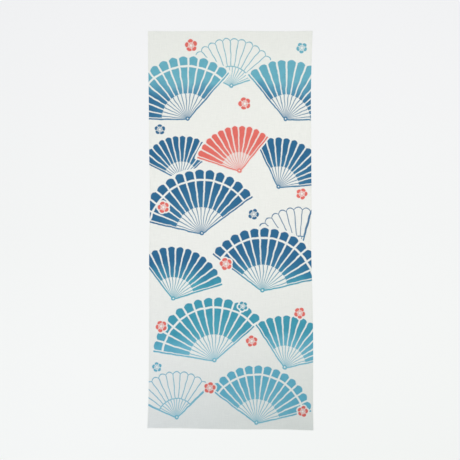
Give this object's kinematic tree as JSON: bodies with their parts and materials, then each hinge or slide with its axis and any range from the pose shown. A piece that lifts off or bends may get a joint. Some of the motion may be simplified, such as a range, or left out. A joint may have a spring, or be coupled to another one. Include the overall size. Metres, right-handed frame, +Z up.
{
  "type": "tenugui towel",
  "caption": "Flat rectangular hand towel of thin plain-woven cotton with selvedge sides and raw-cut ends, spread face up, with a dyed pattern of folding fans in graded blues and coral.",
  "frame": {"origin": "centre of the cloth's outline, on the surface that the towel lies on", "axes": "+Y along the cloth from its foot to its top end, +X across the face to the right, +Z up out of the face"},
  "size_m": [0.3712, 0.8926, 0.0042],
  "materials": {
    "dyed_cotton": "matte, plain woven"
  },
  "bodies": {
    "root": {"towel_cloth": "dyed_cotton"}
  },
  "joints": []
}
